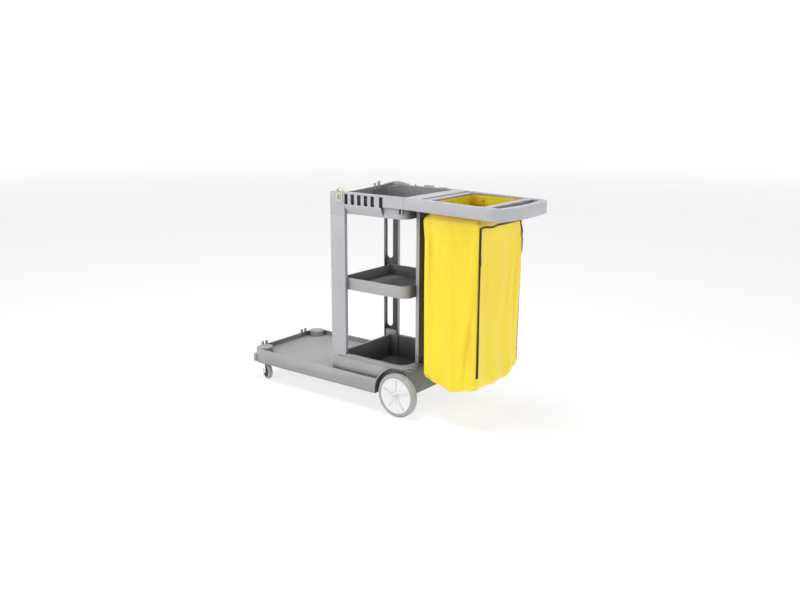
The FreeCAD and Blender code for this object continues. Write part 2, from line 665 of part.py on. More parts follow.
def rear_wheels():
    rim_radius = "wheel_radius - tread_depth"
    for label, side in SIDES.items():
        rim = turned(f"wheel_rim_{label}", [
            ("axle_radius + fit_gap", "0"), ("hub_radius", "0"), ("hub_radius", "wheel_width - 9"),
            (f"{rim_radius} - 9", "wheel_width - 9"), (f"{rim_radius} - 5", "3"), (rim_radius, "3"),
            (rim_radius, "wheel_width - 3"), (f"{rim_radius} - 6", "wheel_width - 4"),
            (f"{rim_radius} - 9", "wheel_width - 5"), ("hub_radius", "wheel_width - 5"),
            ("hub_radius - 3", "wheel_width"), ("axle_radius + fit_gap", "wheel_width")])
        tyre = turned(f"wheel_tyre_{label}", [
            (rim_radius, "3"), (f"{rim_radius} + 2", "1"), (f"{rim_radius} + 8", "0"),
            ("wheel_radius - 6", "2"), ("wheel_radius - 1.5", "7"), ("wheel_radius", "13"),
            ("wheel_radius", "wheel_width - 13"), ("wheel_radius - 1.5", "wheel_width - 7"),
            ("wheel_radius - 6", "wheel_width - 2"), (f"{rim_radius} + 8", "wheel_width"),
            (f"{rim_radius} + 2", "wheel_width - 1"), (rim_radius, "wheel_width - 3")])
        for body in (rim, tyre):
            node(body.Name, lay_wheel(body, side, "wheel_x", f"{side} * wheel_inner", "wheel_radius"))


# ------------------------------------------------------------------ casters

def caster(label, side, swivel):
    """A swivel caster: its parts are made about the stem, then turned to a natural rest angle."""
    stem = turned(f"caster_stem_{label}", [
        ("0", "crown_low - 4"), ("9", "crown_low - 4"), ("9", "crown_low - 0.4"),
        ("stem_radius", "crown_low - 0.4"), ("stem_radius", "crown_high + 0.4"),
        ("15", "crown_high + 0.4"), ("15", "skirt_low + 3"), ("stem_radius", "skirt_low + 3"),
        ("stem_radius", "stem_top"), ("0", "stem_top")])
    crown = box(f"crown_{label}", ("-17", "20"), ("-fork_half - fork_plate", "fork_half + fork_plate"),
                ("crown_low", "crown_high"))
    legs = plate(f"fork_legs_{label}", "XZ_Plane",
                 [("-15", "crown_low + 1"), ("20", "crown_low + 1"), ("caster_trail + 8", "40"),
                  ("caster_trail + 7", "32"), ("caster_trail + 2", "28.5"), ("caster_trail - 5", "30"),
                  ("caster_trail - 8", "36")], "2 * fork_half + 2 * fork_plate", both_ways=True)
    between = box(f"fork_gap_{label}", ("-30", "60"), ("-fork_half", "fork_half"), ("20", "crown_low"))
    bore = cylinder(f"crown_bore_{label}", "Z", ("0", "0"), ("crown_low - 5", "crown_high + 5"),
                    "stem_radius + fit_gap")
    bolt_way = ("caster_trail", "caster_radius")
    bolt_hole = cylinder(f"bolt_hole_{label}", "Y", bolt_way, ("-30", "30"), "caster_axle")
    fork = cut(f"caster_fork_{label}", fuse(f"fork_solid_{label}", crown, legs), between, bore, bolt_hole)
    reach = "fork_half + fork_plate"
    rod = cylinder(f"bolt_rod_{label}", "Y", bolt_way, (f"-({reach}) - 3", f"{reach} + 3"), "caster_axle")
    head = cylinder(f"bolt_head_{label}", "Y", bolt_way, (f"-({reach}) - 4", f"-({reach})"), "7")
    nut = cylinder(f"bolt_nut_{label}", "Y", bolt_way, (reach, f"{reach} + 4"), "7")
    bolt = fuse(f"caster_bolt_{label}", rod, head, nut)
    core = ring(f"caster_core_{label}", bolt_way, "caster_width / 2 - 1", "caster_axle + fit_gap",
                "core_radius")
    tyre = ring(f"caster_tread_{label}", bolt_way, "caster_width / 2", "core_radius", "caster_radius")
    tyre = round_edges(f"caster_tread_round_{label}", tyre, 5,
                       lambda edge: edge.BoundBox.ZLength > 2 * SIZES["caster_radius"] - 1)
    for name, thing in (("stem", stem), ("fork", fork), ("bolt", bolt), ("core", core), ("tyre", tyre)):
        thing.Placement = FreeCAD.Placement(FreeCAD.Vector(), FreeCAD.Rotation(UP, swivel))
        place(thing, "-caster_x", f"{side} * caster_y", "0")
        node(f"caster_{name}_{label}", thing)


def ring(name, way, half, inner, outer):
    return cut(name, cylinder(name + "_disc", "Y", way, (f"-({half})", half), outer),
               cylinder(name + "_hole", "Y", way, ("-40", "40"), inner))


def write(folder):
    os.makedirs(folder, exist_ok=True)
    for thing in nodes:
        thing.Shape.exportStep(f"{folder}/{thing.Label}.step")


def check():
    doc.recompute()
    for thing in doc.Objects:
        if "Invalid" in thing.State or "Error" in thing.State:
            raise RuntimeError(f"{thing.Name} failed: {thing.State}")
    for thing in nodes:
        if thing.Shape.isNull() or not thing.Shape.isValid():
            raise RuntimeError(f"{thing.Label} has no valid shape")
        print(thing.Label, len(thing.Shape.Solids), round(thing.Shape.Volume))


base_moulding()
corner_bumpers()
lower_bin()
front_uprights()
rear_uprights()
trays()
for side_name, side_sign in SIDES.items():
    node(f"tool_rail_{side_name}", tool_rail(side_name, side_sign))
tool_clip()
bag_frame()
bag_hooks()
bag()
bag_door()
rear_axle()
rear_wheels()
caster("left", SIDES["left"], -20)
caster("right", SIDES["right"], 14)
check()
write("parts")
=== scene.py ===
import json
import math

import bmesh
import bpy
from mathutils import Matrix, Vector, noise
from mathutils.bvhtree import BVHTree


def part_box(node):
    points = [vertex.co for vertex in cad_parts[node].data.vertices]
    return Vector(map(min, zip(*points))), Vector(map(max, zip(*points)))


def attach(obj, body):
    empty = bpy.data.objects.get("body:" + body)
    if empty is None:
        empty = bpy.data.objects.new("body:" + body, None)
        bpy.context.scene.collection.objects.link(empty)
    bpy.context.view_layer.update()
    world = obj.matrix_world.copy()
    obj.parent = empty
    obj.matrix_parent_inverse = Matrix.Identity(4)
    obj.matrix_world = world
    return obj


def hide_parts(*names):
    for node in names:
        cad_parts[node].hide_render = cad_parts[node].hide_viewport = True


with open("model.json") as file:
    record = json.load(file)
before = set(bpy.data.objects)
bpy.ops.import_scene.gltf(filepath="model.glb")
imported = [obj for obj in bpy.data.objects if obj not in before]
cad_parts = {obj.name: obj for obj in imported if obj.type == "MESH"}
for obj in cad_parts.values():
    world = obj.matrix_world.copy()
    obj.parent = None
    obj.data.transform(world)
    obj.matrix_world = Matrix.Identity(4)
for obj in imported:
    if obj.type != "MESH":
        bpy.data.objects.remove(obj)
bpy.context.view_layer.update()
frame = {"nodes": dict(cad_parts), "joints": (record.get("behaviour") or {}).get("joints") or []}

# The looks of the housekeeping cart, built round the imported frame.  Metres, +X towards the push handle,
# -Y the left side, +Z up.

SIDES = {"left": -1, "right": 1}
MM = 0.001
SMOOTH = math.radians(38)           # edges that turn less than this are shaded smooth
SHARP = math.radians(30)            # CAD edges that turn more than this are rounded
WELD = 0.02 * MM                    # CAD corners closer than this are one corner
FLAT_TURN = math.radians(0.6)       # CAD faces that turn less than this are one face
UP = Vector((0, 0, 1))

CAMERA_PLACE = (2.425, -3.166, 1.441)
CAMERA_LENS, CAMERA_SENSOR = 39.62, 36
CAMERA_AZIMUTH, CAMERA_ELEVATION, CAMERA_ROLL = 36.98, 13.80, -0.24


# ------------------------------------------------------------------ camera, light and floor

def make_camera():
    """The photographer's place: in front of the left side, a little above the cart."""
    azimuth = math.radians(CAMERA_AZIMUTH)
    elevation = math.radians(CAMERA_ELEVATION)
    roll = math.radians(CAMERA_ROLL)
    data = bpy.data.cameras.new("camera")
    data.sensor_width = CAMERA_SENSOR
    data.lens = CAMERA_LENS
    camera = bpy.data.objects.new("camera", data)
    camera.location = CAMERA_PLACE
    look = Vector((-math.sin(azimuth) * math.cos(elevation), math.cos(azimuth) * math.cos(elevation),
                   -math.sin(elevation)))
    camera.rotation_mode = "QUATERNION"
    turn = Matrix.Rotation(roll, 4, look).to_quaternion()
    camera.rotation_quaternion = turn @ look.to_track_quat("-Z", "Y")
    bpy.context.scene.collection.objects.link(camera)
    bpy.context.scene.camera = camera


def soft_light(name, place, target, size, power):
    data = bpy.data.lights.new(name, "AREA")
    data.shape = "DISK"
    data.size = size
    data.energy = power
    lamp = bpy.data.objects.new(name, data)
    lamp.location = place
    lamp.rotation_euler = (Vector(target) - Vector(place)).to_track_quat("-Z", "Y").to_euler()
    bpy.context.scene.collection.objects.link(lamp)


def make_studio():
    scene = bpy.context.scene
    scene.view_settings.view_transform = "Standard"
    scene.world = bpy.data.worlds.new("studio")
    scene.world.use_nodes = True
    background = scene.world.node_tree.nodes["Background"]
    background.inputs["Color"].default_value = (1, 1, 1, 1)
    background.inputs["Strength"].default_value = 0.16
    middle = (0, 0, 0.5)
    soft_light("overhead", (-0.3, -0.5, 4.4), middle, 2.2, 150)
    soft_light("front_left", (-1.2, -4.2, 2.4), middle, 1.6, 50)
    soft_light("handle_side", (4.0, 0.4, 1.8), middle, 1.6, 26)
    floor_size, wall_radius, wall_height = 30, 14, 5
    bpy.ops.mesh.primitive_plane_add(size=floor_size, location=(0, 0, 0))
    floor = bpy.context.object
    floor.name = "floor"
    floor.data.materials.append(floor_material())
    bpy.ops.mesh.primitive_cylinder_add(vertices=96, radius=wall_radius, depth=wall_height,
                                        end_fill_type="NOTHING", location=(0, 0, wall_height / 2))
    wall = bpy.context.object
    wall.name = "backdrop"
    wall.data.materials.append(backdrop_material())


# ------------------------------------------------------------------ materials

class Surface:
    """A procedural material that is put together layer by layer."""

    def __init__(self, name, color, roughness, **sockets):
        self.material = bpy.data.materials.new(name)
        self.material.use_nodes = True
        self.tree = self.material.node_tree
        self.shader = self.tree.nodes["Principled BSDF"]
        self.shader.inputs["Base Color"].default_value = (*color, 1)
        self.shader.inputs["Roughness"].default_value = roughness
        for socket, value in sockets.items():
            self.shader.inputs[socket.replace("_", " ")].default_value = value
        self.place = self.node("ShaderNodeTexCoord").outputs["Object"]
        self.normal = None

    def node(self, kind, **values):
        made = self.tree.nodes.new(kind)
        for key, value in values.items():
            setattr(made, key, value)
        return made

    def link(self, start, end):
        self.tree.links.new(start, end)

    def noise(self, scale, detail=3, stretch=(1, 1, 1), roughness=0.5):
        mapping = self.node("ShaderNodeMapping")
        mapping.inputs["Scale"].default_value = stretch
        texture = self.node("ShaderNodeTexNoise")
        texture.inputs["Scale"].default_value = scale
        texture.inputs["Detail"].default_value = detail
        texture.inputs["Roughness"].default_value = roughness
        self.link(self.place, mapping.inputs["Vector"])
        self.link(mapping.outputs["Vector"], texture.inputs["Vector"])
        return texture.outputs["Fac"]

    def hollows(self, distance):
        """How open a place is: 0 deep in a corner, 1 out in the open.  The materials darken by it to paint
        shade into corners.
        """
        found = self.node("ShaderNodeAmbientOcclusion", samples=8)
        found.inputs["Distance"].default_value = distance
        return found.outputs["AO"]

    def ramp(self, factor, stops):
        """stops: (position, grey value or colour) pairs."""
        made = self.node("ShaderNodeValToRGB")
        elements = made.color_ramp.elements
        while len(elements) < len(stops):
            elements.new(0.5)
        for element, (position, value) in zip(elements, stops):
            element.position = position
            element.color = (value, value, value, 1) if isinstance(value, (int, float)) else (*value, 1)
        self.link(factor, made.inputs["Fac"])
        return made.outputs["Color"]

    def tint(self, factor, low, high, span=(0.3, 0.7)):
        """Multiply the base colour by a factor that runs from low to high."""
        shades = self.ramp(factor, [(span[0], low), (span[1], high)])
        mix = self.node("ShaderNodeMix", data_type="RGBA", blend_type="MULTIPLY")
        mix.inputs["Factor"].default_value = 1
        socket = self.shader.inputs["Base Color"]
        if socket.is_linked:
            self.link(socket.links[0].from_socket, mix.inputs["A"])
        else:
            mix.inputs["A"].default_value = socket.default_value
        self.link(shades, mix.inputs["B"])
        self.link(mix.outputs["Result"], socket)
        return self

    def gloss(self, factor, low, high):
        """Vary the roughness."""
        spread = self.node("ShaderNodeMapRange")
        spread.inputs["To Min"].default_value = low
        spread.inputs["To Max"].default_value = high
        self.link(factor, spread.inputs["Value"])
        self.link(spread.outputs["Result"], self.shader.inputs["Roughness"])
        return self

    def bump(self, factor, height, strength=1.0):
        made = self.node("ShaderNodeBump")
        made.inputs["Strength"].default_value = strength
        made.inputs["Distance"].default_value = height
        self.link(factor, made.inputs["Height"])
        if self.normal:
            self.link(self.normal, made.inputs["Normal"])
        self.normal = made.outputs["Normal"]
        self.link(self.normal, self.shader.inputs["Normal"])
        return self


def floor_material():
    """White seamless paper, lit almost evenly, so that only soft shadows show."""
    floor = Surface("pale_floor", (0.27, 0.27, 0.28), 0.8, Specular_IOR_Level=0.0,
                    Emission_Color=(1, 1, 1, 1), Emission_Strength=0.77)
    floor.tint(floor.noise(3, 4), 0.985, 1.0)
    return floor.material


def backdrop_material():
    paper = Surface("backdrop_paper", (0.8, 0.8, 0.8), 0.9, Emission_Color=(1, 1, 1, 1),
                    Emission_Strength=1.0)
    paper.tint(paper.noise(2, 3), 0.99, 1.0)
    return paper.material


def moulded_plastic(name, color, depth=0.20):
    """Grained polyethylene with faint flow marks and scuffs, with painted shade in its corners."""
    skin = Surface(name, color, 0.5, Specular_IOR_Level=0.4)
    # Painted shade: deep in corners the colour drops to depth times itself.
    skin.tint(skin.hollows(0.22), depth, 1.0, (0.25, 0.92))
    skin.tint(skin.noise(6, 4), 0.94, 1.05)
    skin.tint(skin.noise(90, 5, roughness=0.7), 0.96, 1.03)
    skin.gloss(skin.noise(14, 5), 0.42, 0.62)
    skin.bump(skin.noise(900, 2), 0.00012, 0.5)
    skin.bump(skin.noise(9, 3), 0.0012, 0.22)
    return skin.material


def clip_plastic():
    skin = Surface("clip_plastic", (0.80, 0.86, 0.66), 0.3, Transmission_Weight=0.4, IOR=1.45)
    skin.tint(skin.noise(60, 3), 0.94, 1.04)
    skin.bump(skin.noise(500, 2), 0.00008, 0.4)
    return skin.material


def rim_plastic():
    skin = Surface("white_rim", (0.76, 0.76, 0.77), 0.34, Specular_IOR_Level=0.5)
    # Painted shade in the rim's corners and between its ribs and bosses.
    skin.tint(skin.hollows(0.012), 0.45, 1.0, (0.45, 0.95))
    skin.tint(skin.noise(30, 4), 0.975, 1.02)
    skin.gloss(skin.noise(40, 4), 0.28, 0.42)
    skin.bump(skin.noise(600, 2), 0.00006, 0.4)
    return skin.material


def tyre_rubber():
    skin = Surface("grey_rubber", (0.36, 0.36, 0.365), 0.68, Specular_IOR_Level=0.35)
    # Painted shade in the tyre's grooves and corners.
    skin.tint(skin.hollows(0.03), 0.5, 1.0, (0.3, 0.9))
    skin.tint(skin.noise(25, 5), 0.9, 1.08)
    skin.tint(skin.noise(260, 3, roughness=0.7), 0.95, 1.04)
    skin.bump(skin.noise(700, 3), 0.00018, 0.6)
    return skin.material


def metal(name, color, roughness, stretch=(1, 1, 1)):
    skin = Surface(name, color, roughness, Metallic=1.0)
    skin.tint(skin.noise(120, 4, stretch), 0.9, 1.05)
    skin.gloss(skin.noise(200, 4, stretch), roughness * 0.75, roughness * 1.4)
    skin.bump(skin.noise(500, 3, stretch), 0.00005, 0.4)
    return skin.material


def black_plastic(name, color, roughness):
    skin = Surface(name, color, roughness)
    skin.tint(skin.noise(80, 3), 0.8, 1.3)
    skin.bump(skin.noise(600, 2), 0.0001, 0.4)
    return skin.material


def vinyl():
    """Coated cloth: a fine weave under a soft, slightly glossy skin, with painted amber shade in its folds.
    """
    skin = Surface("yellow_vinyl", (0.88, 0.69, 0.006), 0.34, Specular_IOR_Level=0.45,
                   Sheen_Weight=0.05, Coat_Weight=0.22, Coat_Roughness=0.28)
    # Painted shade: the yellow darkens towards amber where the cloth folds in and in corners.
    skin.tint(skin.hollows(0.09), (0.62, 0.40, 0.3), (1.0, 1.0, 1.0), (0.4, 1.0))
    skin.tint(skin.noise(5, 4, (1, 1, 0.4)), (0.93, 0.86, 0.7), (1.0, 1.02, 1.0))
    skin.tint(skin.noise(70, 4, roughness=0.65), 0.97, 1.02)
    skin.gloss(skin.noise(22, 5), 0.34, 0.50)
    bands = skin.node("ShaderNodeTexWave", wave_type="BANDS", bands_direction="Z")
    slants = skin.node("ShaderNodeTexWave", wave_type="BANDS", bands_direction="DIAGONAL")
    for wave in (bands, slants):
        wave.inputs["Scale"].default_value = 190
        skin.link(skin.place, wave.inputs["Vector"])
        skin.bump(wave.outputs["Fac"], 0.00005, 0.3)
    skin.bump(skin.noise(24, 4, (1, 1, 0.35)), 0.0016, 0.4)
    return skin.material


def tape_cloth():
    skin = Surface("black_tape", (0.020, 0.017, 0.013), 0.8, Sheen_Weight=0.15)
    skin.tint(skin.noise(300, 3), 0.7, 1.35)
    skin.bump(skin.noise(1100, 2), 0.0002, 0.6)
    return skin.material


LOOKS = {
    "upper_plastic": moulded_plastic("upper_plastic", (0.42, 0.425, 0.445)),
    "base_plastic": moulded_plastic("base_plastic", (0.355, 0.355, 0.355)),
    "bin_plastic": moulded_plastic("bin_plastic", (0.30, 0.30, 0.305)),
    # Painted shade: darker copies of the grey plastic for the insides of the lower bin and the trays.
    "painted_bin_shade_plastic": moulded_plastic("painted_bin_shade_plastic", (0.18, 0.18, 0.185)),
    "painted_tray_shade_plastic": moulded_plastic("painted_tray_shade_plastic", (0.27, 0.27, 0.275)),
    # Painted shade: a near-black copy of the grey plastic for the insides of the upright channels.
    "shaded_plastic": moulded_plastic("shaded_plastic", (0.075, 0.075, 0.079)),
    "clip": clip_plastic(),
    "rim": rim_plastic(),
    "rubber": tyre_rubber(),
    "zinc": metal("zinc_plate", (0.86, 0.87, 0.89), 0.22),
    "steel": metal("drawn_steel", (0.60, 0.60, 0.61), 0.32, (1, 8, 1)),
    "dark_metal": metal("dark_metal", (0.12, 0.12, 0.12), 0.38),
    "black": black_plastic("black_plastic", (0.022, 0.022, 0.024), 0.42),
    "vinyl": vinyl(),
    "tape": tape_cloth(),
}


# ------------------------------------------------------------------ mesh tools

def add_piece(name, shape, look, body, stands_for=(), painted_shade=None):
    """Turn a bmesh into a finished piece that rides on a body.

    The last argument is a (look, test) pair: the faces that pass the test get that other look, used to
    paint shade onto them."""
    mesh = bpy.data.meshes.new(name)
    shape.normal_update()
    for edge in shape.edges:
        edge.smooth = not (len(edge.link_faces) == 2 and edge.calc_face_angle(0) > SMOOTH)
    for face in shape.faces:
        face.smooth = True
        if painted_shade and painted_shade[1](face):
            face.material_index = 1
    shape.to_mesh(mesh)
    shape.free()
    mesh.materials.append(LOOKS[look])
    if painted_shade:
        mesh.materials.append(LOOKS[painted_shade[0]])
    piece = bpy.data.objects.new(name, mesh)
    bpy.context.scene.collection.objects.link(piece)
    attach(piece, body)
    if stands_for:
        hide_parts(*stands_for)
    return piece


def softened(node, width, look, body, painted_shade=None, segments=2):
    """A CAD node rebuilt with rounded edges."""
    shape = bmesh.new()
    shape.from_mesh(frame["nodes"][node].data)
    bmesh.ops.remove_doubles(shape, verts=shape.verts, dist=WELD)
    bmesh.ops.dissolve_limit(shape, angle_limit=FLAT_TURN, verts=shape.verts, edges=shape.edges)
    sharp = [edge for edge in shape.edges
             if len(edge.link_faces) == 2 and edge.calc_face_angle(0) > SHARP]
    bmesh.ops.bevel(shape, geom=sharp, offset=width, segments=segments, profile=0.6,
                    affect="EDGES", clamp_overlap=True)
    return add_piece(node + "_moulded", shape, look, body, [node], painted_shade)


def lathe(shape, profile, centre, axis, steps=96):
    """Spin a closed profile of (radius, distance along the axis) about an axis through centre."""
    side = axis.cross(UP).normalized()
    if side.length < 0.5:
        side = Vector((1, 0, 0))
    over = side.cross(axis).normalized()
    rings = []
    for i in range(steps):
        angle = 2 * math.pi * i / steps
        out = side * math.cos(angle) + over * math.sin(angle)
        rings.append([shape.verts.new(centre + out * radius + axis * along) for radius, along in profile])
    count = len(profile)
    for i in range(steps):
        here, there = rings[i], rings[(i + 1) % steps]
        for k in range(count):
            shape.faces.new((here[k], there[k], there[(k + 1) % count], here[(k + 1) % count]))
    return shape


def rounded(profile, radius, steps=3):
    """Round the corners of a closed profile with short arcs."""
    result = []
    count = len(profile)
    for i in range(count):
        here = Vector(profile[i])
        before = Vector(profile[i - 1])
        after = Vector(profile[(i + 1) % count])
        reach = min(radius, (here - before).length * 0.45, (here - after).length * 0.45)
        start = here + (before - here).normalized() * reach
        end = here + (after - here).normalized() * reach
        for k in range(steps + 1):
            t = k / steps
            result.append(tuple(start * (1 - t) ** 2 + here * 2 * t * (1 - t) + end * t ** 2))
    return result


def block(shape, centre, axes, halves):
    """A small box along its own three axes."""
    corners = []
    for a in (-1, 1):
        for b in (-1, 1):
            for c in (-1, 1):
                corners.append(shape.verts.new(centre + axes[0] * a * halves[0] + axes[1] * b * halves[1]
                                               + axes[2] * c * halves[2]))
    for face in ((0, 1, 3, 2), (4, 6, 7, 5), (0, 4, 5, 1), (2, 3, 7, 6), (0, 2, 6, 4), (1, 5, 7, 3)):
        shape.faces.new([corners[k] for k in face])


def middle_of(node):
    low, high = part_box(node)
    return (Vector(low) + Vector(high)) / 2


# ------------------------------------------------------------------ grey mouldings

def faces_inwards(side):
    """The faces of a right or left upright that look into its channel; they get painted shade."""
    return lambda face: face.normal.y * side < -0.3


def faces_front(face):
    """The faces of a rear upright that look towards the platform; they get painted shade."""
    return face.normal.x < -0.3


def faces_the_hollow(node, rim_z):
    """The faces inside a tray or bin that get painted shade: its floor, and the walls that look towards its
    middle.
    """
    middle = middle_of(node)

    def test(face):
        at = face.calc_center_median()
        inward = (middle - at).to_2d().dot(face.normal.to_2d()) > 0.01
        return at.z < rim_z and (face.normal.z > 0.7 or inward)
    return test


# The insides of the bin and the trays are given painted shade: a darker grey than the outsides, while the
# cart itself is one grey throughout.  Each entry is the height up to which that holds, and the look.
PAINTED_SHADE_HOLLOWS = {"lower_bin": (212 * MM, "painted_bin_shade_plastic"), "mid_tray": (580 * MM, "painted_tray_shade_plastic"),
           "top_tray": (965 * MM, "painted_tray_shade_plastic")}

GREY = {
    "base_moulding": (1.6, "base_plastic"), "lower_bin": (1.0, "bin_plastic"),
    "mid_tray": (1.0, "base_plastic"), "top_tray": (1.0, "upper_plastic"),
    "tool_rail_left": (1.2, "upper_plastic"), "tool_rail_right": (1.2, "upper_plastic"),
    "bag_frame": (2.0, "upper_plastic"), "bag_hooks": (0.8, "upper_plastic"),
}


def mouldings():
    for node, (width, look) in GREY.items():
        painted_shade = None
        if node in PAINTED_SHADE_HOLLOWS:
            rim_z, shade_look = PAINTED_SHADE_HOLLOWS[node]
            painted_shade = (shade_look, faces_the_hollow(node, rim_z))
        softened(node, width * MM, look, "cart", painted_shade)
    for label, side in SIDES.items():
        # The uprights' channel insides get painted shade.
        softened(f"upright_front_{label}", 1.6 * MM, "upper_plastic", "cart",
                 ("shaded_plastic", faces_inwards(side)))
        softened(f"upright_rear_{label}", 1.5 * MM, "upper_plastic", "cart",
                 ("shaded_plastic", faces_front))
        softened(f"corner_bumper_{label}", 3 * MM, "base_plastic", "cart", segments=4)
    softened("tool_clip", 0.9 * MM, "clip", "cart", segments=3)


# ------------------------------------------------------------------ rear wheels and axle

def rear_wheel(label, side):
    out = Vector((0, side, 0))
    low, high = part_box(f"wheel_tyre_{label}")
    centre = middle_of(f"wheel_tyre_{label}")
    half = (high[1] - low[1]) / 2
    radius = (high[2] - low[2]) / 2
    rim_radius = radius - 18 * MM
    face = half - 4 * MM
    rim = rounded([
        (6.5 * MM, -half), (17 * MM, -half), (17 * MM, face - 6 * MM), (rim_radius - 9 * MM, face - 6 * MM),
        (rim_radius - 5 * MM, -half + 3 * MM), (rim_radius, -half + 3 * MM), (rim_radius, half - 3 * MM),
        (rim_radius - 5 * MM, half - 3 * MM), (rim_radius - 9 * MM, face - 1.5 * MM),
        (24 * MM, face - 0.4 * MM), (19 * MM, face - 2.4 * MM), (15 * MM, half - 0.6 * MM),
        (6.5 * MM, half - 0.6 * MM)], 1.4 * MM)
    shape = lathe(bmesh.new(), rim, centre, out)
    # Five low ribs run out from the hub, with a small round boss between each pair.
    ribs = 5
    for i in range(ribs):
        angle = 2 * math.pi * (i + 0.25) / ribs
        ray = Vector((math.cos(angle), 0, math.sin(angle)))
        across = out.cross(ray)
        middle = centre + ray * 47 * MM + out * (face - 0.6 * MM)
        block(shape, middle, (ray, across, out), (22 * MM, 1.8 * MM, 1.6 * MM))
        turn = angle + math.pi / ribs
        spot = Vector((math.cos(turn), 0, math.sin(turn)))
        boss = rounded([(0.4 * MM, -1.4 * MM), (4 * MM, -1.4 * MM), (4 * MM, 0.9 * MM),
                        (0.4 * MM, 0.9 * MM)], 0.7 * MM)
        lathe(shape, boss, centre + spot * 36 * MM + out * (face - 0.6 * MM), out, 24)
    add_piece(f"rim_{label}", shape, "rim", f"wheel_{label}", [f"wheel_rim_{label}"])
    shoulder = 6 * MM
    tread = []
    for i in range(9):
        # Shallow grooves round the tread.
        along = -half + 10 * MM + i * (2 * half - 20 * MM) / 8
        tread.append((radius - (0.9 * MM if i % 2 else 0), along))
    tyre = [(rim_radius, -half + 3 * MM), (rim_radius + 8 * MM, -half),
            (radius - shoulder, -half + 1.5 * MM),
            *tread, (radius - shoulder, half - 1.5 * MM), (rim_radius + 8 * MM, half),
            (rim_radius, half - 3 * MM)]
    shape = lathe(bmesh.new(), rounded(tyre, 2.5 * MM), centre, out, 128)
    add_piece(f"tyre_{label}", shape, "rubber", f"wheel_{label}", [f"wheel_tyre_{label}"])


def axle_parts():
    softened("rear_axle", 1.0 * MM, "steel", "cart")
    softened("axle_washers", 0.3 * MM, "zinc", "cart")
    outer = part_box("axle_nuts")[1]
    centre = middle_of("axle_nuts")
    shape = bmesh.new()
    for side in SIDES.values():
        out = Vector((0, side, 0))
        # A pressed cap with a domed end closes each end of the axle.
        cap = rounded([(6.45 * MM, -1.4 * MM), (9 * MM, -1.4 * MM), (9 * MM, 0.6 * MM), (8 * MM, 2.0 * MM),
                       (6.45 * MM, 2.4 * MM)], 0.5 * MM)
        lathe(shape, cap, Vector((centre.x, side * (outer[1] - 2.5 * MM), centre.z)), out, 48)
    add_piece("axle_caps", shape, "zinc", "cart", ["axle_nuts"])


# ------------------------------------------------------------------ casters

def caster(label):
    softened(f"caster_stem_{label}", 0.6 * MM, "zinc", "cart")
    softened(f"caster_fork_{label}", 0.7 * MM, "zinc", f"caster_{label}")
    softened(f"caster_bolt_{label}", 0.6 * MM, "zinc", f"caster_{label}")
    axis = Vector(next(joint["axis"] for joint in frame["joints"]
                       if joint["name"] == f"caster_{label}_spin")).normalized()
    centre = middle_of(f"caster_tyre_{label}")
    core = rounded([(4.1 * MM, -11 * MM), (10 * MM, -11 * MM), (13 * MM, -6 * MM), (23 * MM, -6 * MM),
                    (25 * MM, -10 * MM), (28 * MM, -10 * MM), (28 * MM, 10 * MM), (25 * MM, 10 * MM),
                    (23 * MM, 6 * MM), (13 * MM, 6 * MM), (10 * MM, 11 * MM),
                    (4.1 * MM, 11 * MM)], 1.0 * MM)
    shape = lathe(bmesh.new(), core, centre, axis, 64)
    add_piece(f"core_{label}", shape, "black", f"caster_wheel_{label}",
              [f"caster_core_{label}"])
    tread = rounded([(28 * MM, -11.6 * MM), (32 * MM, -12 * MM), (36 * MM, -9 * MM), (37.5 * MM, -5 * MM),
                     (37.5 * MM, 5 * MM), (36 * MM, 9 * MM), (32 * MM, 12 * MM), (28 * MM, 11.6 * MM)],
                    2.0 * MM)
    shape = lathe(bmesh.new(), tread, centre, axis, 96)
    add_piece(f"tread_{label}", shape, "rubber", f"caster_wheel_{label}",
              [f"caster_tyre_{label}"])


# ------------------------------------------------------------------ bag

BAG_LOW, BAG_HIGH = (Vector(corner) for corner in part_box("bag"))
ZIP_LOW, ZIP_HIGH = (Vector(corner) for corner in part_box("zip_track"))
SIDE_STEPS, CORNER_STEPS = 40, 5
NECK_FRONT = 320 * MM
NECK_HALF_X, NECK_HALF_Y, NECK_CORNER = 127.5 * MM, 170.5 * MM, 16 * MM
SHOULDER_Z = 0.90                   # the cloth is held above this height and hangs free below it
SETTLE_FRAMES, SETTLE_REACH = 16, 7 * MM
SHEET_THICKNESS = 1.2 * MM


def smoothstep(value):
    value = min(1, max(0, value))
    return value * value * (3 - 2 * value)


def ring_of_bag(half_x, half_y, corner, centre_x):
    """(point, outward direction, side number, place along the side) all round a level cut of the bag.

    Sides: 0 left, 1 the rear face with the door, 2 right, 3 the front face; the walk is anticlockwise."""
    turns = [(Vector((0, -1)), Vector((1, 0))), (Vector((1, 0)), Vector((0, 1))),
             (Vector((0, 1)), Vector((-1, 0))), (Vector((-1, 0)), Vector((0, -1)))]
    found = []
    for number, (out, along) in enumerate(turns):
        flat_half = (half_x if number % 2 == 0 else half_y) - corner
        reach = half_y if number % 2 == 0 else half_x
        for i in range(SIDE_STEPS):
            t = i / SIDE_STEPS
            point = out * reach + along * flat_half * (2 * t - 1)
            found.append((point, out.copy(), number, t))
        for i in range(CORNER_STEPS):
            angle = math.pi / 2 * i / CORNER_STEPS
            turned = out * math.cos(angle) + along * math.sin(angle)
            point = out * (reach - corner) + along * flat_half + turned * corner
            found.append((point, turned, number, 1 + i / CORNER_STEPS))
    return [(Vector((centre_x + point.x, point.y)), out, number, t) for point, out, number, t in found]


def crease(t, z, pitch, lean):
    """A row of soft upright folds, sharper on their crests, that wander as they run down."""
    wander = noise.noise(Vector((t * 2.5, z * 2.2, pitch))) * 1.6
    wave = math.sin(t * pitch + z * lean + wander)
    return wave * abs(wave) ** 0.5


